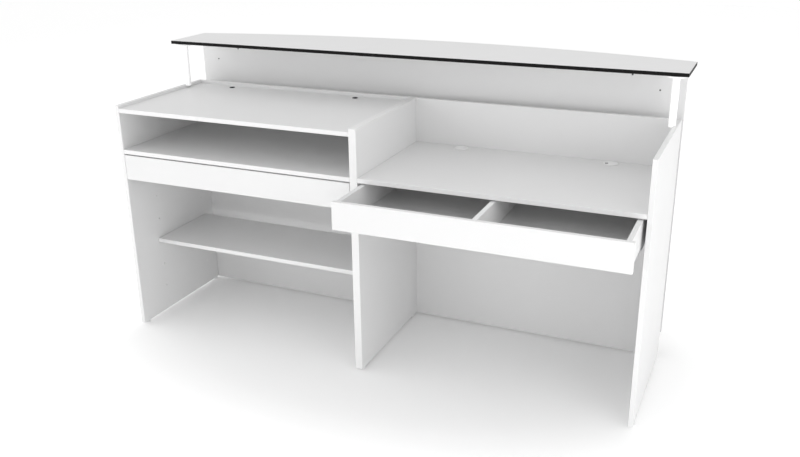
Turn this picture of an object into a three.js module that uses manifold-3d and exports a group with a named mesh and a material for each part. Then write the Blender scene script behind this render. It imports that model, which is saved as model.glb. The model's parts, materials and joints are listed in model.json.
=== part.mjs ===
// Reception desk, staff side: a white board carcass with a raised left half over an open niche,
// a lower desk half, a drawer over telescopic slides in each half, a visitor panel on spacers and a
// curved counter on two posts. Millimetres, +Z up, +X to the right, +Y towards the visitor.
import * as THREE from 'three';
import { mergeVertices } from 'three/addons/utils/BufferGeometryUtils.js';
import Module from 'manifold-3d';

const wasm = await Module();
wasm.setup();

// Clearances
const seatGap = 0.3;            // between two pieces that are fixed face to face
const holeGap = 0.3;            // round a pin or a liner in its drilled hole
const cutRun = 1;               // a drill or cutter starts this far outside the piece

// Carcass
const deskWidth = 2000;         // over the outer faces of the end panels
const carcassDepth = 540;       // staff edge to the rear of the end panels
const endPanelTop = 920;        // floor to the top of the end panels, divider and back panel
const footGap = 8;              // floor to the underside of the panels
const board = 16;               // end panels, worktops, shelves, back and drawer fronts
const dividerBoard = 28;        // the middle upright
const rimHeight = 12;           // the panels stand this much above the raised worktop
const deskTop = 748;            // floor to the desk worktop and to the niche floor

// Lower shelf and its pins
const shelfTop = 333;
const shelfSetback = 140;       // staff edge to the shelf's front edge
const shelfBackGap = 54;        // shelf's rear edge to the back panel
const shelfSideGap = 1;
const pinRadius = 2.5;
const pinReach = 11;            // length under the shelf
const pinHoleDepth = 10;
const pinHolePitch = 100;
const pinHolesBelow = 2;        // spare holes under and over the shelf's own
const pinHolesAbove = 2;
const pinInset = 20;            // shelf's front or rear edge to the pin

// Glides under the uprights
const glideRadius = 12;
const glideNeck = 5;
const glideBase = 4.5;          // height of the round base
const glideRounding = 1.5;
const glidePin = 4;
const glidePinDepth = 15;
const glideInset = 28;          // upright's edge to the glide

// Visitor panel
const visitorGap = 44;          // carcass to the visitor panel
const visitorBottom = 78;       // floor to its lower edge
const spacerRadius = 14;
const spacerInset = 130;        // end panel's outer face to a spacer
const spacerRise = 172;         // panel's lower edge to the lower spacers
const spacerDrop = 120;         // top of the end panels to the upper spacers

// Counter
const counterTop = 1103;
const counterThickness = 13;
const counterFront = 400;       // staff edge of the carcass to the staff edge of the counter
const counterOverhang = 22;     // past the outer faces of the end panels
const counterEndDepth = 230;
const counterBulge = 134;       // rise of the visitor edge's arc over its chord
const counterChamfer = 0.8;
const postRadius = 12.5;
const postInset = 20;           // end panel's outer face to the post's axis
const postSetback = 32;         // counter's staff edge to the post's axis
const postHook = 4;             // the post's notched foot reaches this far down inside the end panel
const flangeRadius = 35;
const flangeThickness = 6;

// Drawers
const drawerOpen = 194;         // how far the right drawer stands out at rest
const frontHeight = 97;
const frontTopGap = 5;
const frontSideGap = 2;
const frontLip = 2.5;           // the front reaches this far below the box
const drawerSideGap = 12.5;     // upright to drawer side
const drawerBoard = 16;
const drawerBackGap = 38;       // drawer's rear to the back panel
const bottomThickness = 5;
const bottomRebate = 8;         // width of the rebate in the sides' lower edges that holds the bottom

// Telescopic slides under the drawers, one pair to each
const slideHeight = 12.7;
const railWidth = 35;
const railWall = 1.2;
const railRun = 0.35;           // running gap between two rails
const raceDepth = 0.9;          // depth of the rolled ball race
const railLeg = 12;             // height of the cabinet rail's leg against the upright
const legSetback = 90;          // cabinet rail's front end to its leg
const railFrontGap = 12;        // drawer front to the rails
const railBackGap = 54;         // rails to the back panel

// Cable outlets
const grommetHole = 22.5;       // radius in the desk worktop
const grommetWall = 1.6;
const grommetFlange = 25.5;     // radius over the worktop
const flangeRise = 2;
const grommetInset = { left: 199, right: 207 };   // bay's sides to the outlets' axes
const grommetBackGap = 29;      // back panel to the outlets' axes
const capThickness = 3;
const capLedge = 2;
const slotHalfWidth = 6;
const slotReach = 8;            // cap's centre to the slot's round end
const capTurn = { left: 0, right: 200 };   // degrees from +X to each cap's slot
const ringHole = 9;             // radius in the raised worktop
const ringWall = 1.5;
const ringFlange = 11;
const ringRise = 1.5;
const ringInset = { left: 183, right: 216 };
const ringBackGap = 36;
const linerReach = 2;           // liners stop this far above the worktop's underside

// Facets
const roundFacets = 32;
const pinFacets = 12;
const arcFacets = 64;
const raceFacets = 10;

const finishes = {
  whiteBoard: { color: 0xf3f3f1, roughness: 0.5, metalness: 0 },
  compactLaminate: { color: 0xe4e4e3, roughness: 0.35, metalness: 0 },
  whiteSteel: { color: 0xf0f0ee, roughness: 0.4, metalness: 0.1 },
  zincSteel: { color: 0xb9bcc0, roughness: 0.35, metalness: 0.9 },
  whitePlastic: { color: 0xe6e6e4, roughness: 0.45, metalness: 0 },
  blackPlastic: { color: 0x1d1d1f, roughness: 0.55, metalness: 0 },
};

// Places that several pieces share
const endOuter = deskWidth / 2;
const endInner = endOuter - board;
const dividerFace = dividerBoard / 2;
const backFace = carcassDepth - board;              // staff side of the back panel
const raisedTop = endPanelTop - rimHeight;
const frontTop = deskTop - board - frontTopGap;
const boxBottom = frontTop - frontHeight + frontLip;
const visitorFace = carcassDepth + visitorGap;      // staff side of the visitor panel
const counterUnder = counterTop - counterThickness;
const flangeUnder = counterUnder - seatGap - flangeThickness;
const postDepth = counterFront + postSetback;
const bays = {
  left: { from: -endInner, to: -dividerFace, centre: -(endInner + dividerFace) / 2 },
  right: { from: dividerFace, to: endInner, centre: (endInner + dividerFace) / 2 },
};
const bayWidth = endInner - dividerFace;

const desk = new THREE.Group();

function addPiece(group, name, geometry, finish) {
  const piece = new THREE.Mesh(geometry, new THREE.MeshStandardMaterial(finishes[finish]));
  piece.name = name;
  group.add(piece);
  return piece;
}

// A box from its low and high limits on each axis
function block(x, y, z) {
  const geometry = new THREE.BoxGeometry(x[1] - x[0], y[1] - y[0], z[1] - z[0]);
  return geometry.translate((x[0] + x[1]) / 2, (y[0] + y[1]) / 2, (z[0] + z[1]) / 2);
}

// A round bar between two points
function bar(radius, from, to, facets) {
  const a = new THREE.Vector3(...from);
  const along = new THREE.Vector3(...to).sub(a);
  const geometry = new THREE.CylinderGeometry(radius, radius, along.length(), facets);
  geometry.translate(0, along.length() / 2, 0);
  const turn = new THREE.Quaternion();
  turn.setFromUnitVectors(new THREE.Vector3(0, 1, 0), along.clone().normalize());
  return geometry.applyQuaternion(turn).translate(a.x, a.y, a.z);
}

// A profile of [radius, height] points turned about a vertical axis
function turned(profile, facets) {
  const points = profile.map(([radius, height]) => new THREE.Vector2(radius, height));
  return new THREE.LatheGeometry(points, facets).rotateX(Math.PI / 2);
}

// A plan outline raised from one height to another
function plate(outline, low, high) {
  const options = { depth: high - low, bevelEnabled: false, curveSegments: roundFacets };
  return new THREE.ExtrudeGeometry(outline, options).translate(0, 0, low);
}

// An outline in X and Z drawn out along Y
function drawnAlongY(outline, front, back) {
  const geometry = new THREE.ExtrudeGeometry(outline, { depth: back - front, bevelEnabled: false });
  return geometry.rotateX(Math.PI / 2).translate(0, back, 0);
}

function rectangle(x, y) {
  const outline = new THREE.Shape();
  outline.moveTo(x[0], y[0]).lineTo(x[1], y[0]).lineTo(x[1], y[1]).lineTo(x[0], y[1]).closePath();
  return outline;
}

function roundHole(x, y, radius) {
  return new THREE.Path().absarc(x, y, radius, 0, 2 * Math.PI, true);
}

function toSolid(geometry) {
  const bare = new THREE.BufferGeometry();
  bare.setAttribute('position', geometry.getAttribute('position'));
  bare.setIndex(geometry.getIndex());
  const merged = mergeVertices(bare);
  const vertProperties = new Float32Array(merged.getAttribute('position').array);
  const triVerts = new Uint32Array(merged.getIndex().array);
  return new wasm.Manifold(new wasm.Mesh({ numProp: 3, vertProperties, triVerts }));
}

function cut(geometry, tools) {
  const left = tools.reduce((solid, tool) => solid.subtract(toSolid(tool)), toSolid(geometry));
  const mesh = left.getMesh();
  const result = new THREE.BufferGeometry();
  result.setAttribute('position', new THREE.BufferAttribute(mesh.vertProperties, 3));
  result.setIndex(new THREE.BufferAttribute(mesh.triVerts, 1));
  result.computeVertexNormals();
  return result;
}

// Shelf pins stand in the left bay, in rows near the shelf's front and rear edges
const pinRows = [shelfSetback + pinInset, backFace - shelfBackGap - pinInset];
const pinHeight = shelfTop - board - seatGap - pinRadius;

// Drilled holes for the pins in one face of an upright: dir is +1 where the hole runs along +X
function pinHoles(face, dir) {
  const tools = [];
  for (const y of pinRows) {
    for (let step = -pinHolesBelow; step <= pinHolesAbove; step += 1) {
      const z = pinHeight + step * pinHolePitch;
      const mouth = face - dir * cutRun;
      tools.push(bar(pinRadius + holeGap, [mouth, y, z], [face + dir * pinHoleDepth, y, z], pinFacets));
    }
  }
  return tools;
}

// Glides near the front and rear of an upright of the given depth
const glideRows = (depth) => [glideInset, depth - glideInset];

function glideHoles(x, depth) {
  const mouth = footGap - cutRun;
  const top = footGap + glidePinDepth + holeGap;
  return glideRows(depth).map((y) => bar(glidePin + holeGap, [x, y, mouth], [x, y, top], pinFacets));
}

function addGlides(group, name, x, depth) {
  const neckTop = footGap - seatGap;
  const flat = glideRadius - glideRounding;
  const profile = [
    [0, 0], [flat, 0], [glideRadius, glideRounding], [glideRadius, glideBase - glideRounding],
    [flat, glideBase], [glideNeck, glideBase], [glideNeck, neckTop],
    [glidePin, neckTop], [glidePin, footGap + glidePinDepth], [0, footGap + glidePinDepth],
  ];
  glideRows(depth).forEach((y, row) => {
    const place = row === 0 ? 'front' : 'rear';
    const glide = addPiece(group, `glide_${name}_${place}`, turned(profile, 2 * pinFacets), 'whitePlastic');
    glide.position.set(x, y, 0);
  });
}

function addUprights(group) {
  const height = [footGap, endPanelTop];
  const endMiddle = endOuter - board / 2;
  const dividerDepth = backFace - seatGap;
  const leftEnd = block([-endOuter, -endInner], [0, carcassDepth], height);
  const rightEnd = block([endInner, endOuter], [0, carcassDepth], height);
  const divider = block([-dividerFace, dividerFace], [0, dividerDepth], height);
  const leftCuts = [...pinHoles(-endInner, -1), ...glideHoles(-endMiddle, carcassDepth)];
  const dividerCuts = [...pinHoles(-dividerFace, 1), ...glideHoles(0, dividerDepth)];
  addPiece(group, 'end_panel_left', cut(leftEnd, leftCuts), 'whiteBoard');
  addPiece(group, 'end_panel_right', cut(rightEnd, glideHoles(endMiddle, carcassDepth)), 'whiteBoard');
  addPiece(group, 'divider_panel', cut(divider, dividerCuts), 'whiteBoard');
  addGlides(group, 'left', -endMiddle, carcassDepth);
  addGlides(group, 'middle', 0, dividerDepth);
  addGlides(group, 'right', endMiddle, carcassDepth);
}

// The two cable outlets of a worktop stand in a row close to the back panel
function outletPlaces(bay, inset, backGap) {
  const y = backFace - backGap;
  return { left: [bay.from + inset.left, y], right: [bay.to - inset.right, y] };
}

const grommetPlaces = outletPlaces(bays.right, grommetInset, grommetBackGap);
const ringPlaces = outletPlaces(bays.left, ringInset, ringBackGap);

// A worktop that fills a bay, with a row of round holes
function worktop(bay, top, places, radius) {
  const outline = rectangle([bay.from + seatGap, bay.to - seatGap], [0, backFace - seatGap]);
  Object.values(places).forEach(([x, y]) => outline.holes.push(roundHole(x, y, radius)));
  return plate(outline, top - board, top);
}

function addBoards(group) {
  const back = [backFace, carcassDepth];
  const inside = [-endInner + seatGap, endInner - seatGap];
  const { left, right } = bays;
  addPiece(group, 'back_panel', block(inside, back, [footGap, endPanelTop]), 'whiteBoard');
  const raised = worktop(left, raisedTop, ringPlaces, ringHole + holeGap);
  addPiece(group, 'raised_worktop', raised, 'whiteBoard');
  const lower = worktop(right, deskTop, grommetPlaces, grommetHole + holeGap);
  addPiece(group, 'desk_worktop', lower, 'whiteBoard');
  addPiece(group, 'niche_shelf', worktop(left, deskTop, {}, 0), 'whiteBoard');
}

function addLowerShelf(group) {
  const { from, to } = bays.left;
  const depth = [shelfSetback, backFace - shelfBackGap];
  const shelf = block([from + shelfSideGap, to - shelfSideGap], depth, [shelfTop - board, shelfTop]);
  addPiece(group, 'lower_shelf', shelf, 'whiteBoard');
  const buried = pinHoleDepth - holeGap;
  for (const [hand, face, dir] of [['left', from, 1], ['right', to, -1]]) {
    pinRows.forEach((y, row) => {
      const tail = [face - dir * buried, y, pinHeight];
      const tip = [face + dir * pinReach, y, pinHeight];
      const place = row === 0 ? 'front' : 'rear';
      addPiece(group, `shelf_pin_${hand}_${place}`, bar(pinRadius, tail, tip, pinFacets), 'zincSteel');
    });
  }
}

function addVisitorPanel(group) {
  const depth = [visitorFace, visitorFace + board];
  const height = [visitorBottom, counterUnder - seatGap];
  addPiece(group, 'visitor_panel', block([-endOuter, endOuter], depth, height), 'whiteBoard');
  const from = carcassDepth + seatGap;
  const to = visitorFace - seatGap;
  for (const [hand, x] of [['left', spacerInset - endOuter], ['right', endOuter - spacerInset]]) {
    for (const [place, z] of [['low', visitorBottom + spacerRise], ['high', endPanelTop - spacerDrop]]) {
      const spacer = bar(spacerRadius, [x, from, z], [x, to, z], roundFacets / 2);
      addPiece(group, `spacer_${hand}_${place}`, spacer, 'zincSteel');
    }
  }
}

// Counter outline: straight staff edge and ends, and one arc on the visitor side
function counterOutline() {
  const half = endOuter + counterOverhang - counterChamfer;
  const front = counterFront + counterChamfer;
  const corner = counterFront + counterEndDepth - counterChamfer;
  const radius = (half ** 2 + counterBulge ** 2) / (2 * counterBulge);
  const centre = corner + counterBulge - radius;
  const start = Math.atan2(corner - centre, half);
  const outline = new THREE.Shape();
  outline.moveTo(-half, front).lineTo(half, front).lineTo(half, corner);
  outline.absarc(0, centre, radius, start, Math.PI - start, false);
  outline.closePath();
  return outline;
}

function addCounter(group) {
  const counter = new THREE.ExtrudeGeometry(counterOutline(), {
    depth: counterThickness - 2 * counterChamfer,
    bevelThickness: counterChamfer,
    bevelSize: counterChamfer,
    bevelSegments: 1,
    curveSegments: arcFacets,
  });
  counter.translate(0, 0, counterUnder + counterChamfer);
  addPiece(group, 'counter_top', counter, 'compactLaminate');
  for (const [hand, dir] of [['left', -1], ['right', 1]]) {
    const x = dir * (endOuter - postInset);
    const foot = [x, postDepth, endPanelTop - postHook];
    const head = [x, postDepth, flangeUnder - seatGap];
    // The post's foot is notched over the end panel's inner upper edge
    const panel = [dir * (endInner - seatGap), dir * (endOuter + postRadius)].sort((a, b) => a - b);
    const depth = [postDepth - postRadius - cutRun, postDepth + postRadius + cutRun];
    const notch = block(panel, depth, [foot[2] - cutRun, endPanelTop + seatGap]);
    const post = cut(bar(postRadius, foot, head, roundFacets), [notch]);
    addPiece(group, `counter_post_${hand}`, post, 'whiteSteel');
    const low = [x, postDepth, flangeUnder];
    const high = [x, postDepth, flangeUnder + flangeThickness];
    addPiece(group, `post_flange_${hand}`, bar(flangeRadius, low, high, roundFacets), 'whiteSteel');
  }
}

// Liner of a drilled hole: a tube with a flange over the worktop, and a ledge inside where a cap lies
function liner(top, hole, wall, flange, rise, ledge, ledgeDepth) {
  const bore = hole - wall;
  const bottom = top - board + linerReach;
  const rim = top + seatGap + rise;
  const profile = [[bore, rim], [flange - rise / 2, rim], [flange, rim - rise / 2], [flange, top + seatGap]];
  profile.push([hole, top + seatGap], [hole, bottom]);
  if (ledge > 0) {
    profile.push([bore - ledge, bottom], [bore - ledge, rim - ledgeDepth], [bore, rim - ledgeDepth]);
  } else {
    profile.push([bore, bottom]);
  }
  profile.push(profile[0]);
  return turned(profile.reverse(), roundFacets);
}

// Round cap with a slot open at its edge for the cables
function capOutline(radius) {
  const edge = Math.asin(slotHalfWidth / radius);
  const outline = new THREE.Shape();
  outline.absarc(0, 0, radius, edge, 2 * Math.PI - edge, false);
  outline.lineTo(slotReach + slotHalfWidth, -slotHalfWidth);
  outline.absarc(slotReach + slotHalfWidth, 0, slotHalfWidth, -Math.PI / 2, Math.PI / 2, true);
  outline.closePath();
  return outline;
}

function addCableOutlets(group) {
  const depth = capThickness + seatGap;
  const grommet = liner(deskTop, grommetHole, grommetWall, grommetFlange, flangeRise, capLedge, depth);
  const capTop = deskTop + seatGap + flangeRise;
  const cap = plate(capOutline(grommetHole - grommetWall - holeGap), capTop - capThickness, capTop);
  for (const [hand, [x, y]] of Object.entries(grommetPlaces)) {
    addPiece(group, `grommet_liner_${hand}`, grommet.clone(), 'whitePlastic').position.set(x, y, 0);
    const piece = addPiece(group, `grommet_cap_${hand}`, cap.clone(), 'whitePlastic');
    piece.position.set(x, y, 0);
    piece.rotation.z = THREE.MathUtils.degToRad(capTurn[hand]);
  }
  const ring = liner(raisedTop, ringHole, ringWall, ringFlange, ringRise, 0, 0);
  for (const [hand, [x, y]] of Object.entries(ringPlaces)) {
    addPiece(group, `cable_ring_${hand}`, ring.clone(), 'blackPlastic').position.set(x, y, 0);
  }
}

// Section of a rolled rail, open on the side of its lips, as [height, place] points. The race swells
// each flange outwards by swell, or inwards where it is negative, in a raised-cosine curve between
// the web and the lips.
function railSection(web, lip, half, swell) {
  const dir = Math.sign(lip - web);
  const inner = web + dir * railWall;
  const raceFrom = inner + dir * railWall;
  const raceTo = lip - dir * railWall;
  const flange = [[inner, 0]];
  for (let step = 0; step <= raceFacets && swell !== 0; step += 1) {
    const share = step / raceFacets;
    const rise = swell * (1 - Math.cos(2 * Math.PI * share)) / 2;
    flange.push([raceFrom + (raceTo - raceFrom) * share, rise]);
  }
  flange.push([lip, 0]);
  const outside = [[web, 0], ...flange].map(([height, rise]) => [height, half + rise]);
  const inside = flange.map(([height, rise]) => [height, half - railWall + rise]).reverse();
  const near = [...outside, ...inside];
  const far = near.map(([height, place]) => [height, -place]).reverse();
  return [...near, ...far];
}

// The three rails of one slide: heights from its underside, places from its middle towards the upright.
// The cabinet rail's web runs on to the upright and stands up against it as a leg, except near its front.
function slideSections() {
  const cabinetHalf = railWidth / 2 - raceDepth;
  const middleHalf = cabinetHalf - railWall - railRun;
  const runnerHalf = middleHalf - railWall - railRun;
  const middleWeb = railWall + railRun;
  const runnerWeb = slideHeight - seatGap;
  const middleLip = runnerWeb - railWall - railRun;
  const channel = railSection(0, middleLip - railWall, cabinetHalf, raceDepth);
  const legFace = railWidth / 2 + drawerSideGap - seatGap;
  const legInner = legFace - railWall;
  const bracket = [[0, legFace], [railLeg, legFace], [railLeg, legInner], [railWall, legInner]];
  return {
    cabinet: [...bracket, ...channel.slice(1)],
    middle: railSection(middleWeb, middleLip, middleHalf, 0),
    runner: railSection(runnerWeb, middleWeb + 2 * railWall, runnerHalf, -raceDepth),
  };
}

function addSlides(parents, side) {
  const bay = bays[side];
  const underside = boxBottom - slideHeight;
  const front = board + railFrontGap;
  const back = backFace - railBackGap;
  for (const [hand, face, dir] of [['left', bay.from, 1], ['right', bay.to, -1]]) {
    const middle = face + dir * (drawerSideGap + railWidth / 2);
    const beside = [face, face + dir * drawerSideGap].sort((a, b) => a - b);
    const depth = [front - cutRun, front + legSetback];
    const notch = block(beside, depth, [underside - cutRun, underside + railLeg + cutRun]);
    for (const [rail, section] of Object.entries(slideSections())) {
      const at = ([height, place]) => new THREE.Vector2(middle - dir * place, underside + height);
      const drawn = drawnAlongY(new THREE.Shape(section.map(at)), front, back);
      const piece = rail === 'cabinet' ? cut(drawn, [notch]) : drawn;
      addPiece(parents[rail], `${side}_drawer_slide_${hand}_${rail}`, piece, 'zincSteel');
    }
  }
}

// Side board with a rebate for the bottom: face is its outer face, dir points into the drawer
function drawerSide(face, dir, front, back) {
  const inner = face + dir * drawerBoard;
  const shoulder = inner - dir * bottomRebate;
  const rebateTop = boxBottom + bottomThickness + seatGap;
  const corners = [
    [face, boxBottom], [shoulder, boxBottom], [shoulder, rebateTop],
    [inner, rebateTop], [inner, frontTop], [face, frontTop],
  ];
  const outline = new THREE.Shape(corners.map(([x, z]) => new THREE.Vector2(x, z)));
  return drawnAlongY(outline, front, back);
}

function addDrawer(group, side) {
  const bay = bays[side];
  const name = (piece) => `${side}_drawer_${piece}`;
  const outer = bayWidth / 2 - drawerSideGap;           // half width over the drawer sides
  const inner = outer - drawerBoard;
  const front = board + seatGap;
  const back = backFace - drawerBackGap;
  const bottomTop = boxBottom + bottomThickness;
  const height = [bottomTop + seatGap, frontTop];
  const across = (half) => [bay.centre - half, bay.centre + half];
  const face = block(across(bayWidth / 2 - frontSideGap), [0, board], [frontTop - frontHeight, frontTop]);
  addPiece(group, name('front'), face, 'whiteBoard');
  addPiece(group, name('side_left'), drawerSide(bay.centre - outer, 1, front, back), 'whiteBoard');
  addPiece(group, name('side_right'), drawerSide(bay.centre + outer, -1, front, back), 'whiteBoard');
  const bottom = block(across(inner + bottomRebate - seatGap), [front, back], [boxBottom, bottomTop]);
  addPiece(group, name('bottom'), bottom, 'whiteBoard');
  const rear = block(across(inner - seatGap), [back - drawerBoard, back], height);
  addPiece(group, name('back'), rear, 'whiteBoard');
  const middle = block(across(drawerBoard / 2), [front, back - drawerBoard - seatGap], height);
  addPiece(group, name('partition'), middle, 'whiteBoard');
}

// Each drawer is pulled out of the carcass towards -Y; its middle rails travel half as far
function addDrawers(group) {
  for (const [side, open] of [['left', 0], ['right', drawerOpen]]) {
    const drawer = new THREE.Group();
    const middleRails = new THREE.Group();
    drawer.position.y = -open;
    middleRails.position.y = -open / 2;
    group.add(drawer, middleRails);
    addDrawer(drawer, side);
    addSlides({ cabinet: group, middle: middleRails, runner: drawer }, side);
  }
}

addUprights(desk);
addBoards(desk);
addLowerShelf(desk);
addVisitorPanel(desk);
addCounter(desk);
addCableOutlets(desk);
addDrawers(desk);

// The origin lies on the floor under the middle of the whole, open drawer and counter included
const rearmost = counterFront + counterEndDepth + counterBulge;
desk.position.y = -(rearmost - drawerOpen) / 2;

export default desk;
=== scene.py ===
import json
import math
import bmesh
import bpy
import numpy as np
from mathutils import Matrix, Vector
from mathutils.geometry import delaunay_2d_cdt

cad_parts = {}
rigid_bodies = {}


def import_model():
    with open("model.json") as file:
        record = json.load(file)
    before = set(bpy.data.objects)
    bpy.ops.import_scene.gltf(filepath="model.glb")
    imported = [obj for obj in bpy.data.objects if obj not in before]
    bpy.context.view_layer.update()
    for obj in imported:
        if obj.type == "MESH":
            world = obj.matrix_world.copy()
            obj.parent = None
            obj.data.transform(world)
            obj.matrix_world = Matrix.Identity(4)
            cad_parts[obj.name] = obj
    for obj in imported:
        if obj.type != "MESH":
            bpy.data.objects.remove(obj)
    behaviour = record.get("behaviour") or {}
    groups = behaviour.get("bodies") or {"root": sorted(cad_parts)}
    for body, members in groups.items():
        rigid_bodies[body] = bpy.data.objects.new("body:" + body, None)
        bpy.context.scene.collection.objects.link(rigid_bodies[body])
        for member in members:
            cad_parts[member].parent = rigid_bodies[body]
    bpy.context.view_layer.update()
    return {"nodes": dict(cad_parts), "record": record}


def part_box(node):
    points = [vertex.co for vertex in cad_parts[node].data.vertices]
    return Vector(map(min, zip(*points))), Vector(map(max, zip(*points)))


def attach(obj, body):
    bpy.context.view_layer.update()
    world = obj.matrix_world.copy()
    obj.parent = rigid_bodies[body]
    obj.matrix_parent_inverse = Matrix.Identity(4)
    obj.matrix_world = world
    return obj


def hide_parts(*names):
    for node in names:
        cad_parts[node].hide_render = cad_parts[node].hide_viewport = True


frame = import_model()
nodes = frame["nodes"]
bodyOf = {n: body for body, members in frame["record"]["behaviour"]["bodies"].items() for n in members}
slotOf = {part["node"]: part["material_slot"] for part in frame["record"]["subparts"]}
mm = 0.001
hands = ("left", "right")


# Camera, at the photograph's viewpoint
viewpoint = {
    "place": (1.3112, -2.8527, 1.6492),
    "yaw": -23.910,        # degrees from +Y towards +X
    "pitch": -20.681,
    "roll": -0.657,
    "lens": 39.684,        # mm
    "film": 36,            # mm wide
}


def setCamera(v):
    camera = bpy.data.objects.new("camera", bpy.data.cameras.new("camera"))
    bpy.context.scene.collection.objects.link(camera)
    turn = Matrix.Rotation(math.radians(-v["yaw"]), 4, "Z")
    tilt = Matrix.Rotation(math.radians(90 + v["pitch"]), 4, "X")
    roll = Matrix.Rotation(math.radians(v["roll"]), 4, "Z")
    camera.matrix_world = Matrix.Translation(v["place"]) @ turn @ tilt @ roll
    camera.data.sensor_fit = "HORIZONTAL"
    camera.data.sensor_width = v["film"]
    camera.data.lens = v["lens"]
    bpy.context.scene.camera = camera


setCamera(viewpoint)
print("camera: done")


# Finishes. Sizes in metres: cloud is the soft unevenness, grain the fine texture and depth its bump.
finishes = {
    "melamine": {
        "colour": (0.80, 0.80, 0.80), "second": (0.775, 0.775, 0.776), "band": (0.82, 0.82, 0.82),
        "cloud": 0.35, "grain": 0.0011, "depth": 0.000014,
        "rough": (0.40, 0.50), "metal": 0.0, "specular": 0.5,
    },
    "laminateFace": {
        "colour": (0.86, 0.86, 0.86), "second": (0.83, 0.83, 0.831), "band": (0.88, 0.88, 0.88),
        "cloud": 0.28, "grain": 0.0008, "depth": 0.00001,
        "rough": (0.30, 0.40), "metal": 0.0, "specular": 0.5,
    },
    "laminateCore": {
        "colour": (0.004, 0.004, 0.004), "second": (0.007, 0.0068, 0.0066), "band": (0.008, 0.008, 0.008),
        "cloud": 0.02, "grain": 0.0006, "depth": 0.00001,
        "rough": (0.45, 0.60), "metal": 0.0, "specular": 0.12,
    },
    "powderCoat": {
        "colour": (0.97, 0.97, 0.97), "second": (0.95, 0.95, 0.951), "band": (0.97, 0.97, 0.97),
        "cloud": 0.06, "grain": 0.0016, "depth": 0.000006,
        "rough": (0.22, 0.32), "metal": 0.0, "specular": 0.8,
    },
    "zincPlate": {
        "colour": (0.56, 0.57, 0.58), "second": (0.47, 0.48, 0.50), "band": (0.62, 0.63, 0.64),
        "cloud": 0.012, "grain": 0.0005, "depth": 0.000007,
        "rough": (0.28, 0.42), "metal": 1.0, "specular": 0.5,
    },
    "mouldedWhite": {
        "colour": (0.92, 0.92, 0.92), "second": (0.90, 0.90, 0.90), "band": (0.92, 0.92, 0.92),
        "cloud": 0.02, "grain": 0.0005, "depth": 0.00001,
        "rough": (0.30, 0.40), "metal": 0.0, "specular": 0.5,
    },
    "mouldedBlack": {
        "colour": (0.010, 0.010, 0.011), "second": (0.016, 0.016, 0.017), "band": (0.02, 0.02, 0.02),
        "cloud": 0.008, "grain": 0.0005, "depth": 0.000014,
        "rough": (0.50, 0.65), "metal": 0.0, "specular": 0.3,
    },
    "blackedSteel": {
        "colour": (0.025, 0.025, 0.027), "second": (0.045, 0.045, 0.047), "band": (0.09, 0.09, 0.09),
        "cloud": 0.004, "grain": 0.0003, "depth": 0.000007,
        "rough": (0.35, 0.50), "metal": 0.6, "specular": 0.5,
    },
}


# Two noises on Object coordinates: the soft one mixes two tones, the fine one gives bump and gloss,
# and the piece's own "edge" attribute brings in the tone of bands and worn edges
def makeFinish(name, f):
    material = bpy.data.materials.new(name)
    material.use_nodes = True
    tree = material.node_tree
    shader = tree.nodes["Principled BSDF"]
    shader.inputs["Metallic"].default_value = f["metal"]
    shader.inputs["Specular IOR Level"].default_value = f["specular"]
    place = tree.nodes.new("ShaderNodeTexCoord").outputs["Object"]

    def noise(size, detail):
        texture = tree.nodes.new("ShaderNodeTexNoise")
        texture.inputs["Scale"].default_value = 1 / size
        texture.inputs["Detail"].default_value = detail
        tree.links.new(place, texture.inputs["Vector"])
        return texture.outputs[0]

    def between(share, first, second):
        mix = tree.nodes.new("ShaderNodeMix")
        mix.data_type = "RGBA"
        tree.links.new(share, mix.inputs[0])
        for socket, tone in ((mix.inputs[6], first), (mix.inputs[7], second)):     # its two colours
            if isinstance(tone, tuple):
                socket.default_value = (*tone, 1)
            else:
                tree.links.new(tone, socket)
        return mix.outputs[2]

    cloud = noise(f["cloud"], detail=3)
    grain = noise(f["grain"], detail=2)
    edge = tree.nodes.new("ShaderNodeAttribute")
    edge.attribute_name = "edge"
    tone = between(cloud, f["colour"], f["second"])
    tone = between(edge.outputs["Fac"], tone, f["band"])
    tree.links.new(tone, shader.inputs["Base Color"])
    gloss = tree.nodes.new("ShaderNodeMapRange")
    gloss.inputs["To Min"].default_value, gloss.inputs["To Max"].default_value = f["rough"]
    tree.links.new(grain, gloss.inputs["Value"])
    tree.links.new(gloss.outputs["Result"], shader.inputs["Roughness"])
    bump = tree.nodes.new("ShaderNodeBump")
    bump.inputs["Distance"].default_value = f["depth"]
    tree.links.new(grain, bump.inputs["Height"])
    tree.links.new(bump.outputs["Normal"], shader.inputs["Normal"])
    return material


finish = {name: makeFinish(name, look) for name, look in finishes.items()}
finishOfSlot = {
    "white_board": "melamine", "compact_laminate": "laminateFace", "white_steel": "powderCoat",
    "zinc_steel": "zincPlate", "white_plastic": "mouldedWhite", "black_plastic": "mouldedBlack",
}
print("finishes:", len(finish))


def finishFor(node):
    return finishOfSlot[slotOf[node]]


def boxOf(node):
    return np.array(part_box(node))


def nodeSize(node):
    low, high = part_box(node)
    return np.array(high - low)


def middleOf(node):
    low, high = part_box(node)
    return (low + high) / 2


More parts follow.
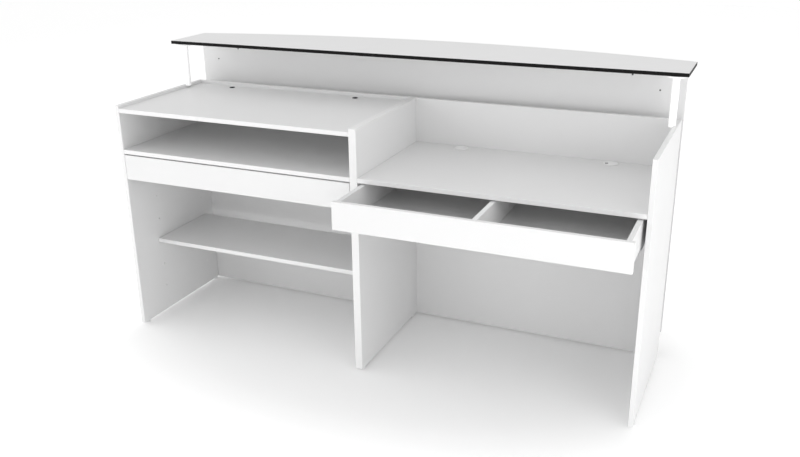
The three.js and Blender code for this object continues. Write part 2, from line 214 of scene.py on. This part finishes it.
# A finished piece stands for its node and rides on that node's body, or only rides on the body it is
# given. edge is each point's share of the band tone, layer each face's finish, crease in degrees.
def addPiece(name, points, faces, finishNames, standsFor=None, rideOn=None,
             edge=None, layer=None, crease=40):
    mesh = bpy.data.meshes.new(name)
    mesh.from_pydata(points.reshape(-1, 3).tolist(), [], faces)
    for finishName in finishNames:
        mesh.materials.append(finish[finishName])
    if layer is not None:
        mesh.polygons.foreach_set("material_index", layer)
    if edge is not None:
        share = mesh.attributes.new("edge", "FLOAT", "POINT")
        share.data.foreach_set("value", edge.astype(np.float32).ravel())
    mesh.shade_smooth()
    mesh.set_sharp_from_angle(angle=math.radians(crease))
    mesh.validate()
    piece = bpy.data.objects.new(name, mesh)
    bpy.context.scene.collection.objects.link(piece)
    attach(piece, bodyOf[standsFor] if standsFor else rideOn)
    if standsFor:
        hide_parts(standsFor)
    return piece


# Quads between the rows of a grid whose rows are closed loops
def loopQuads(rows, around, closed=False):
    k, j = np.meshgrid(np.arange(rows if closed else rows - 1), np.arange(around), indexing="ij")
    down, on = (k + 1) % rows, (j + 1) % around
    quads = np.stack([k * around + j, down * around + j, down * around + on, k * around + on], -1)
    return quads.reshape(-1, 4).tolist()


# The two faces that close such a grid at its first and last row
def endFaces(rows, around):
    first, last = list(range(around)), list(range((rows - 1) * around, rows * around))
    return [first, last[::-1]]


# A profile with its corners made round: each corner becomes a quadratic curve that starts and ends
# "radius" away from it, or mostOfSide of the way along a shorter side
def softCorners(profile, radius, steps, closed=False, mostOfSide=0.48):
    p = np.array(profile, float)
    out = [] if closed else [p[:1]]
    t = np.linspace(0, 1, steps + 1)[:, None]
    for i in range(len(p)) if closed else range(1, len(p) - 1):
        corner, before, after = p[i], p[i - 1], p[(i + 1) % len(p)]
        reach = [min(radius, np.linalg.norm(q - corner) * mostOfSide) for q in (before, after)]
        start = corner + (before - corner) / np.linalg.norm(before - corner) * reach[0]
        end = corner + (after - corner) / np.linalg.norm(after - corner) * reach[1]
        out.append((1 - t) ** 2 * start + 2 * t * (1 - t) * corner + t ** 2 * end)
    if not closed:
        out.append(p[-1:])
    return np.concatenate(out)


# Boards with an edge band: the outline is a rectangle with round corners, and the edge profile
# (inset from the outline, depth under the face) is carried round it. Between face and band runs
# a hairline.
boardLook = {
    "round": 0.8 * mm,        # radius of the band's arris
    "band": 1.0 * mm,         # thickness of the edge band
    "seam": 0.12 * mm,        # half width of the hairline
    "seamDepth": 0.084 * mm,
    "flat": 0.5 * mm,         # flat ring that keeps the shading of the face even
    "steps": 4,               # along each rounding
    "holeSides": 24,
}


def edgeProfile(thickness, b):
    a = np.linspace(0, np.pi / 2, b["steps"] + 1)
    inset = np.concatenate([
        [b["band"] + b["seam"] + b["flat"], b["band"] + b["seam"], b["band"], b["band"] - b["seam"]],
        b["round"] * (1 - np.sin(a)), [0],
    ])
    depth = np.concatenate([
        [0, 0, b["seamDepth"], 0],
        b["round"] * (1 - np.cos(a)), [b["round"] + b["flat"]],
    ])
    band = np.concatenate([[0, 0, 0, 0], np.ones(b["steps"] + 2)])
    height = np.concatenate([thickness / 2 - depth, depth[::-1] - thickness / 2])
    return np.concatenate([inset, inset[::-1]]), height, np.concatenate([band, band[::-1]])


# Closes a flat face between its outline, which comes first, and the rims of its holes: triangles over
# all their points, without those whose corners all lie on one rim of a hole. A rim is a loop of places
# and the number of its first point.
def flatFace(rims, flip):
    points, edges, index, rimOf = [], [], [], []
    for k, (loop, first) in enumerate(rims):
        count = len(loop)
        edges += [(len(points) + i, len(points) + (i + 1) % count) for i in range(count)]
        points += [tuple(q) for q in loop]
        index += list(range(first, first + count))
        rimOf += [k] * count
    if len(rims) == 1:
        return [index[::-1] if flip else index]
    allTriangles, nearest = 0, 1e-7        # kind of result, and how near two points are one
    result = delaunay_2d_cdt(points, edges, [], allTriangles, nearest)
    corners = np.array([origin[0] for origin in result[3]])[np.array(result[2])]
    rim = np.array(rimOf)[corners]
    inHole = (rim[:, 0] > 0) & (rim == rim[:, :1]).all(1)
    faces = np.array(index)[corners[~inHole]]
    return (faces[:, ::-1] if flip else faces).tolist()


# Each hole is its place on the face's two axes, its radius, the face it starts from (1 or -1) and
# its depth, where no depth means right through
def addBoard(node, b, holes=()):
    low, high = boxOf(node)
    size, middle = high - low, (low + high) / 2
    thin = int(np.argmin(size))
    u, v = (thin + 1) % 3, (thin + 2) % 3
    inset, height, band = edgeProfile(size[thin], b)
    corner = inset.max() + b["flat"]
    quarter = np.linspace(0, np.pi / 2, b["steps"] + 1)
    angle = np.concatenate([quarter + q * np.pi / 2 for q in range(4)])
    signU = np.repeat([1, -1, -1, 1], len(quarter))
    signV = np.repeat([1, 1, -1, -1], len(quarter))
    reach = (corner - inset)[:, None]
    rows, around = len(inset), len(angle)
    grid = np.empty((rows, around, 3))
    grid[..., u] = middle[u] + signU * (size[u] / 2 - corner) + reach * np.cos(angle)
    grid[..., v] = middle[v] + signV * (size[v] / 2 - corner) + reach * np.sin(angle)
    grid[..., thin] = middle[thin] + height[:, None]
    points = [grid.reshape(-1, 3)]
    edge = [np.repeat(band, around)]
    faces = loopQuads(rows, around)
    rims = {1: [(grid[0][:, [u, v]], 0)], -1: [(grid[-1][:, [u, v]], (rows - 1) * around)]}
    count = rows * around
    turn = np.linspace(0, 2 * np.pi, b["holeSides"], endpoint=False)
    for placeU, placeV, radius, side, depth in holes:
        mouth = side * size[thin] / 2
        ring = np.empty((2, len(turn), 3))
        ring[..., u] = placeU + radius * np.cos(turn)
        ring[..., v] = placeV + radius * np.sin(turn)
        ring[0, :, thin] = middle[thin] + mouth
        ring[1, :, thin] = middle[thin] + (mouth - side * depth if depth else -mouth)
        wall = np.array(loopQuads(2, len(turn))) + count
        faces += (wall[:, ::-1] if side > 0 else wall).tolist()
        rims[side].append((ring[0][:, [u, v]], count))
        inner = count + len(turn)
        if depth:
            bottom = list(range(inner, inner + len(turn)))
            faces.append(bottom if side > 0 else bottom[::-1])
        else:
            rims[-side].append((ring[1][:, [u, v]], inner))
        points.append(ring.reshape(-1, 3))
        edge.append(np.zeros(2 * len(turn)))
        count += 2 * len(turn)
    for side, found in rims.items():
        faces += flatFace(found, side < 0)
    points, edge = np.concatenate(points), np.concatenate(edge)
    addPiece(node + "_banded", points, faces, [finishFor(node)], node, edge=edge)


holeLook = {
    "grommet": 22.8 * mm, "ring": 9.3 * mm,         # radii under the flanges
    "pin": 2.8 * mm, "pinDepth": 10 * mm, "pinPitch": 100 * mm, "pinsEachWay": 2,
}


def outletHoles(kind, radius):
    centres = [middleOf(f"{kind}_{hand}") for hand in hands]
    return [(c.x, c.y, radius, 1, None) for c in centres]


def pinHoles(hand, side, h):
    steps = range(-h["pinsEachWay"], h["pinsEachWay"] + 1)
    pins = [middleOf(f"shelf_pin_{hand}_{row}") for row in ("front", "rear")]
    return [(p.y, p.z + s * h["pinPitch"], h["pin"], side, h["pinDepth"]) for p in pins for s in steps]


holesOf = {
    "desk_worktop": outletHoles("grommet_liner", holeLook["grommet"]),
    "raised_worktop": outletHoles("cable_ring", holeLook["ring"]),
    "end_panel_left": pinHoles("left", 1, holeLook),
    "divider_panel": pinHoles("right", -1, holeLook),
}
boards = [n for n in nodes if slotOf[n] == "white_board" and "_drawer_side_" not in n]
for n in boards:
    addBoard(n, boardLook, holesOf.get(n, ()))
print("boards:", len(boards))


# Counter: straight staff edge and ends and one arc towards the visitor. At an inset d the outline is
# the same shape with front + d, half length - d and arc radius - d about the same centre.
counterLook = {
    "overArc": 134 * mm,      # rise of the arc over its chord
    "arris": 0.6 * mm,        # broken edge, which cuts through the decor into the core
    "faceSheet": 0.15 * mm,   # light decor sheet over and under the black core
    "flat": 0.6 * mm,         # flat ring that keeps the shading of the faces even
    "arcSteps": 160,
    "endSteps": 6,            # along the staff edge and each end
    "crease": 50,             # degrees
}


def addCounter(node, c):
    low, high = boxOf(node)
    half = (high[0] - low[0]) / 2
    radius = (half ** 2 + c["overArc"] ** 2) / (2 * c["overArc"])
    centre = high[1] - radius
    arris, sheet, flat = c["arris"], c["faceSheet"], c["flat"]
    inset = np.array([arris + flat, arris, arris - sheet, 0, 0])
    depth = np.array([0, 0, sheet, arris, arris + flat])
    edge = np.array([0, 0, 1, 1, 0])
    height = np.concatenate([high[2] - depth, low[2] + depth[::-1]])
    d = np.concatenate([inset, inset[::-1]])[:, None]
    start = np.arccos((half - d) / (radius - d))
    arc = start + (np.pi - 2 * start) * np.linspace(0, 1, c["arcSteps"] + 1)
    arcX, arcY = (radius - d) * np.cos(arc), centre + (radius - d) * np.sin(arc)
    along = np.linspace(0, 1, c["endSteps"], endpoint=False)
    front = low[1] + d + 0 * along
    frontX = (half - d) * (2 * along - 1)
    rightY = front + (arcY[:, :1] - front) * along
    leftY = arcY[:, -1:] + (front - arcY[:, -1:]) * along
    end = half - d + 0 * along
    x = np.concatenate([frontX, end, arcX[:, :-1], -end], 1)
    y = np.concatenate([front, rightY, arcY[:, :-1], leftY], 1)
    rows, around = x.shape
    grid = np.stack([x, y, np.repeat(height[:, None], around, 1)], -1)
    faces = loopQuads(rows, around) + endFaces(rows, around)
    core = np.zeros(rows - 1, int)
    core[2:-2] = 1                     # from under the upper decor sheet to over the lower one
    layer = np.repeat(core, around).tolist() + [0, 0]
    edge = np.repeat(np.concatenate([edge, edge[::-1]]), around)
    names = [finishFor(node), "laminateCore"]
    addPiece(node + "_sheet", grid, faces, names, node, edge=edge, layer=layer, crease=c["crease"])


addCounter("counter_top", counterLook)
print("counter: done")


# Turned pieces: every profile point (radius, height) is carried round the axis,
# so x = radius cos a, y = radius sin a, z = height
def turnedGrid(profile, sides):
    a = np.linspace(0, 2 * np.pi, sides, endpoint=False)
    radius, height = profile[:, :1], profile[:, 1:]
    return np.stack([radius * np.cos(a), radius * np.sin(a), height + 0 * a], -1)


# axis is 0, 1 or 2 for X, Y or Z, and a ring's profile closes on itself
def addTurned(node, profile, axis=2, sides=64, ring=False):
    low, high = boxOf(node)
    grid = np.roll(turnedGrid(profile, sides), axis + 1, axis=-1)
    place = (low + high) / 2
    place[axis] = low[axis]
    rows = len(profile)
    faces = loopQuads(rows, sides, ring) + ([] if ring else endFaces(rows, sides))
    addPiece(node + "_turned", grid + place, [face[::-1] for face in faces], [finishFor(node)], node)


glideLook = {
    "foot": 9 * mm, "neck": 5 * mm, "pin": 4 * mm,        # radii
    "base": 4.5 * mm, "neckTop": 7.7 * mm,                # heights
    "soft": 1.6 * mm, "steps": 5,
}


def addGlide(node, g):
    size = nodeSize(node)
    radius, top = size[0] / 2, size[2]
    outline = [
        (g["foot"], 0), (radius, 0), (radius, g["base"]), (g["neck"], g["base"]),
        (g["neck"], g["neckTop"]), (g["pin"], g["neckTop"]), (g["pin"], top), (g["pin"] / 2, top),
    ]
    addTurned(node, softCorners(outline, g["soft"], g["steps"]))


# Plain rods and discs with rounded ends: the axis they lie on, the one their width is taken on,
# the rounding, and the radius of the flat left in the middle of each end
rodLook = {
    "spacer": {"axis": 1, "wide": 0, "soft": 1.0 * mm, "centre": 4 * mm, "steps": 3, "sides": 64},
    "shelfPin": {"axis": 0, "wide": 1, "soft": 1.4 * mm, "centre": 0.4 * mm, "steps": 4, "sides": 32},
    "flange": {"axis": 2, "wide": 0, "soft": 1.8 * mm, "centre": 6 * mm, "steps": 5, "sides": 96},
}


def addRod(node, r):
    size = nodeSize(node)
    radius, length = size[r["wide"]] / 2, size[r["axis"]]
    outline = [(r["centre"], 0), (radius, 0), (radius, length), (r["centre"], length)]
    addTurned(node, softCorners(outline, r["soft"], r["steps"]), r["axis"], r["sides"])


# Tubes in the worktops: the wall, the rim's reach past the hole and its height, and the width and
# depth of the ledge under a cap
linerLook = {
    "grommet": {
        "wall": 1.6 * mm, "rim": 3.0 * mm, "rise": 2.0 * mm, "ledge": 2.0 * mm, "drop": 3.3 * mm,
        "soft": 0.7 * mm, "steps": 4,
    },
    "ring": {
        "wall": 1.5 * mm, "rim": 2.0 * mm, "rise": 1.5 * mm, "ledge": 0, "drop": 0,
        "soft": 0.7 * mm, "steps": 4,
    },
}


def addLiner(node, t):
    size = nodeSize(node)
    outer, top = size[0] / 2, size[2]
    hole = outer - t["rim"]
    bore = hole - t["wall"]
    profile = [(outer, top - t["rise"]), (outer, top), (bore, top)]
    if t["ledge"]:
        seat, inner = top - t["drop"], bore - t["ledge"]
        profile += [(bore, seat), (inner, seat), (inner, 0)]
    else:
        profile += [(bore, 0)]
    profile += [(hole, 0), (hole, top - t["rise"])]
    addTurned(node, softCorners(profile, t["soft"], t["steps"], closed=True), ring=True)


turnedKinds = {
    "glide_": (addGlide, glideLook),
    "spacer_": (addRod, rodLook["spacer"]),
    "shelf_pin_": (addRod, rodLook["shelfPin"]),
    "post_flange_": (addRod, rodLook["flange"]),
    "grommet_liner_": (addLiner, linerLook["grommet"]),
    "cable_ring_": (addLiner, linerLook["ring"]),
}
for n in nodes:
    for start, (addKind, look) in turnedKinds.items():
        if n.startswith(start):
            addKind(n, look)
print("turned pieces: done")


# Insert in the slot of each grommet cap, a white flap or black bristles whose black is partly painted
# shade, standing in for the shade inside the slot:
# at every place along the slot a flat section as wide as the slot is there.
# down the middle.
insertLook = {
    # degrees from +X to the slot, the insert's kind, finish and slot name
    "left": (0, "flap", "mouldedWhite", "white_plastic"),
    # the right insert's black bristles are a real insert whose black is also painted shade for the dark
    # inside of the slot
    "right": (200, "brush", "mouldedBlack", "black_plastic"),
    "from": 8.4 * mm, "to": 20.0 * mm,            # its ends, out from the cap's centre
    "middle": 14 * mm, "half": 5.7 * mm,          # centre and radius of its round inner end
    "below": 0.25 * mm, "thick": 1.5 * mm,        # gap under the cap's top
    "ribs": 11, "rib": 0.3 * mm, "furrow": 0.5 * mm,
    "steps": 88, "across": 16,
}


def addInsert(hand, b):
    turn, kind, look, slotName = b[hand]
    along = np.linspace(b["from"], b["to"], b["steps"] + 1)[:, None]
    half = np.sqrt(b["half"] ** 2 - np.clip(b["middle"] - along, 0, None) ** 2)
    over = np.linspace(-1, 1, b["across"] + 1) * half
    share = (along - b["from"]) / (b["to"] - b["from"])
    ribs = b["rib"] * (0.5 - 0.5 * np.cos(2 * np.pi * b["ribs"] * share))
    top = -b["below"] - ribs - b["rib"] * np.exp(-(over / b["furrow"]) ** 2)
    under = 0 * over - b["below"] - b["thick"]
    across = np.concatenate([over, over[:, ::-1]], 1)
    height = np.concatenate([top, under], 1)
    rows, around = across.shape
    angle = math.radians(turn)
    centre = middleOf(f"grommet_liner_{hand}")
    grid = np.stack([
        centre.x + along * math.cos(angle) - across * math.sin(angle),
        centre.y + along * math.sin(angle) + across * math.cos(angle),
        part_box(f"grommet_cap_{hand}")[1].z + height,
    ], -1)
    faces = loopQuads(rows, around) + endFaces(rows, around)
    piece = addPiece(f"slot_{kind}_{hand}", grid, faces, [look], rideOn=bodyOf[f"grommet_cap_{hand}"])


for hand in hands:
    addInsert(hand, insertLook)
print("slot inserts: done")


# Pieces that keep the solid's own shape: a merged copy with smooth faces and broken edges
keptLook = {
    "arris": {
        "counter_post": 0.5 * mm, "drawer_side": 0.6 * mm,
        "drawer_slide": 0.15 * mm, "grommet_cap": 0.4 * mm,
    },
    "weld": 0.002 * mm,       # points this near become one
    "level": 0.5,             # degrees between faces that become one
    "sharp": 45,              # degrees from which an edge is broken
    "segments": 3,
}


def addMerged(node, width, k):
    build = bmesh.new()
    build.from_mesh(nodes[node].data)
    bmesh.ops.remove_doubles(build, verts=build.verts, dist=k["weld"])
    level = math.radians(k["level"])
    bmesh.ops.dissolve_limit(build, angle_limit=level, verts=build.verts, edges=build.edges)
    build.verts.index_update()
    points = np.array([v.co for v in build.verts])
    faces = [[v.index for v in face.verts] for face in build.faces]
    build.free()
    piece = addPiece(node + "_finished", points, faces, [finishFor(node)], node)
    bevel = piece.modifiers.new("arris", "BEVEL")
    bevel.width = width
    bevel.segments = k["segments"]
    bevel.limit_method = "ANGLE"
    bevel.angle_limit = math.radians(k["sharp"])
    bevel.harden_normals = True


for n in nodes:
    for kind, width in keptLook["arris"].items():
        if kind in n:
            addMerged(n, width, keptLook)
print("merged pieces: done")


# Screw heads: a low dome round the axis, its recess a cross whose arms deepen towards the middle.
# Height over radius r and angle a: dome(r) less the recess where r is inside the cross outline.
screwLook = {
    "radius": 2.9 * mm, "rise": 1.3 * mm, "roundness": 2.6,
    "arm": 1.6 * mm,          # reach of the cross
    "waist": 0.42,            # share of that reach between its arms
    "pinch": 4,               # a higher value makes the arms narrower
    "wall": 0.5 * mm, "deep": 0.9 * mm,      # the recess: run of its slanted walls, and its depth
    "clear": 0.02 * mm,       # gap under the head
    "rings": 14, "sides": 48,
    "centre": 0.04,           # share of the radius that the innermost ring has
    "crease": 50,             # degrees
}
panelScrews = [(-0.924, 1.0055), (0.912, 1.0048), (-0.823, 1.053), (0.814, 1.0531)]      # x and z
flangeScrews = {"circle": 23 * mm, "from": 45, "count": 4}      # from is in degrees


def screwGrid(s):
    a = np.linspace(0, 2 * np.pi, s["sides"], endpoint=False)
    r = np.linspace(1, s["centre"], s["rings"])[:, None] * s["radius"]
    dome = s["rise"] * np.sqrt(np.clip(1 - (r / s["radius"]) ** s["roundness"], 0, 1))
    cross = s["arm"] * (s["waist"] + (1 - s["waist"]) * np.cos(2 * a) ** s["pinch"])
    recess = s["deep"] * np.clip((cross - r) / s["wall"], 0, 1)
    skirt = np.zeros((1, s["sides"]))
    height = np.concatenate([skirt, dome - recess])
    r = np.concatenate([r[:1], r])
    return np.stack([r * np.cos(a), r * np.sin(a), height + s["clear"]], -1)


def addScrew(name, place, towards, body, s):
    grid = screwGrid(s)
    rows, sides = grid.shape[:2]
    turn = np.array(towards.to_track_quat("Z", "Y").to_matrix())
    faces = [face[::-1] for face in loopQuads(rows, sides) + endFaces(rows, sides)]
    points = grid.reshape(-1, 3) @ turn.T + np.array(place)
    piece = addPiece(name, points, faces, ["blackedSteel"], rideOn=body, crease=s["crease"])


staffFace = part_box("visitor_panel")[0].y
for i, (x, z) in enumerate(panelScrews):
    addScrew(f"panel_screw_{i + 1}", (x, staffFace, z), Vector((0, -1, 0)), "carcass", screwLook)
for hand in hands:
    low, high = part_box(f"post_flange_{hand}")
    for i in range(flangeScrews["count"]):
        a = math.radians(flangeScrews["from"] + 360 / flangeScrews["count"] * i)
        x = (low.x + high.x) / 2 + flangeScrews["circle"] * math.cos(a)
        y = (low.y + high.y) / 2 + flangeScrews["circle"] * math.sin(a)
        place = (x, y, low.z)
        addScrew(f"flange_screw_{hand}_{i + 1}", place, Vector((0, 0, -1)), "carcass", screwLook)
print("screws: done")


# Studio: a pale floor that glows away from the desk, a sky that is brighter overhead and behind,
# and soft area lights
studio = {
    "sky": {"front": 0.21, "behind": 0.62, "over": 1.0},     # strength as light, low down and overhead
    "backdrop": 1.0,                   # strength as seen behind the desk
    "glow": (0.033, 0.24),             # the floor's own light beside the desk and far from it
    "stretch": (0.55, 0.9, 1),         # the glow's rings are longer along the desk than across it
    "glowFrom": 0.45, "glowTo": 0.9,
    "areas": {
        # place, aimed at, width, height, watts
        "left": ((-6.0, -1.0, 2.0), (0, 0, 0.5), 5.0, 3.5, 115),
        "right": ((6.0, -1.0, 2.0), (0, 0, 0.5), 5.0, 3.5, 37),
        "rightRear": ((5.0, 3.5, 2.5), (0, 0, 0.5), 4.0, 3.0, 18),
        "frontLeft": ((-4.0, -5.0, 2.5), (0, 0, 0.5), 4.0, 3.0, 45),
        "frontNear": ((0.3, -2.7, 0.8), (0, 0, 0.5), 3.0, 1.0, 10.1),
        "rightNear": ((2.6, -1.8, 1.3), (0.3, 0, 0.6), 1.6, 1.6, 12.7),
        "posts": ((0.9, -2.0, 1.1), (-0.9, 0.2, 1.0), 1.0, 0.6, 24),
    },
    "only": {"posts": "counter_post"},     # a lamp that reaches these pieces alone
    "floorHalf": 12.0,
    # low ridge under the back panel's rear edge, which keeps light from behind out of the gap there
    "ridge": {"x": (-0.93, 0.97), "deep": 3 * mm, "clear": 0.1 * mm},
}


def addSky(s):
    world = bpy.data.worlds.new("sky")
    bpy.context.scene.world = world
    world.use_nodes = True
    tree = world.node_tree
    back = tree.nodes["Background"]
    back.inputs["Color"].default_value = (1, 1, 1, 1)
    towards = tree.nodes.new("ShaderNodeSeparateXYZ")
    tree.links.new(tree.nodes.new("ShaderNodeTexCoord").outputs["Generated"], towards.inputs["Vector"])
    low = tree.nodes.new("ShaderNodeMapRange")
    low.inputs["From Min"].default_value = -1
    low.inputs["To Min"].default_value = s["sky"]["front"]
    low.inputs["To Max"].default_value = s["sky"]["behind"]
    tree.links.new(towards.outputs["Y"], low.inputs["Value"])
    light = tree.nodes.new("ShaderNodeMapRange")
    light.inputs["To Max"].default_value = s["sky"]["over"]
    tree.links.new(low.outputs["Result"], light.inputs["To Min"])
    tree.links.new(towards.outputs["Z"], light.inputs["Value"])
    seen = tree.nodes.new("ShaderNodeLightPath").outputs["Is Camera Ray"]
    strength = tree.nodes.new("ShaderNodeMapRange")
    strength.inputs["To Max"].default_value = s["backdrop"]
    tree.links.new(light.outputs["Result"], strength.inputs["To Min"])
    tree.links.new(seen, strength.inputs["Value"])
    tree.links.new(strength.outputs["Result"], back.inputs["Strength"])


def addLamps(s):
    for name, (place, aim, width, height, watts) in s["areas"].items():
        data = bpy.data.lights.new(name, "AREA")
        data.shape = "RECTANGLE"
        data.size, data.size_y = width, height
        data.energy = watts
        lamp = bpy.data.objects.new(name, data)
        bpy.context.scene.collection.objects.link(lamp)
        lamp.visible_camera = False
        lamp.location = place
        lamp.rotation_euler = (Vector(aim) - Vector(place)).to_track_quat("-Z", "Y").to_euler()
        if name in s["only"]:
            lit = bpy.data.collections.new(name)
            for piece in bpy.context.scene.objects:
                if piece.name.startswith(s["only"][name]):
                    lit.objects.link(piece)
            lamp.light_linking.receiver_collection = lit


floorFinish = {
    "colour": (0.94, 0.94, 0.94), "second": (0.93, 0.93, 0.93), "band": (0.94, 0.94, 0.94),
    "cloud": 0.8, "grain": 0.002, "depth": 0.000007,
    "rough": (0.75, 0.85), "metal": 0.0, "specular": 0.3,
}


def rectangle(left, right, front, back, z):
    return [(left, front, z), (right, front, z), (right, back, z), (left, back, z)]


# One flat square, and on it the ridge: four sides and a top
def floorMesh(s):
    edge, ridge = s["floorHalf"], s["ridge"]
    panelLow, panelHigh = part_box("back_panel")
    around = (*ridge["x"], panelHigh.y - ridge["deep"], panelHigh.y)
    points = rectangle(-edge, edge, -edge, edge, 0) + rectangle(*around, 0)
    points += rectangle(*around, panelLow.z - ridge["clear"])
    faces = [(0, 1, 2, 3), (8, 9, 10, 11)]
    faces += [(4 + k, 4 + (k + 1) % 4, 8 + (k + 1) % 4, 8 + k) for k in range(4)]
    mesh = bpy.data.meshes.new("floor")
    mesh.from_pydata(points, [], faces)
    return mesh


# The glow is a smooth step over the distance from the desk's middle, stretched along the desk
def addFloor(s):
    mesh = floorMesh(s)
    floor = bpy.data.objects.new("floor", mesh)
    bpy.context.scene.collection.objects.link(floor)
    material = makeFinish("paleFloor", floorFinish)
    tree = material.node_tree
    shader = tree.nodes["Principled BSDF"]
    shader.inputs["Emission Color"].default_value = (1, 1, 1, 1)
    rings = tree.nodes.new("ShaderNodeMapping")
    rings.inputs["Scale"].default_value = s["stretch"]
    tree.links.new(tree.nodes["Texture Coordinate"].outputs["Object"], rings.inputs["Vector"])
    away = tree.nodes.new("ShaderNodeVectorMath")
    away.operation = "LENGTH"
    tree.links.new(rings.outputs["Vector"], away.inputs[0])
    glow = tree.nodes.new("ShaderNodeMapRange")
    glow.interpolation_type = "SMOOTHSTEP"
    glow.inputs["From Min"].default_value = s["glowFrom"]
    glow.inputs["From Max"].default_value = s["glowTo"]
    glow.inputs["To Min"].default_value, glow.inputs["To Max"].default_value = s["glow"]
    tree.links.new(away.outputs["Value"], glow.inputs["Value"])
    tree.links.new(glow.outputs["Result"], shader.inputs["Emission Strength"])
    mesh.materials.append(material)


addSky(studio)
addLamps(studio)
addFloor(studio)
bpy.context.scene.view_settings.view_transform = "Standard"
print("studio: done")
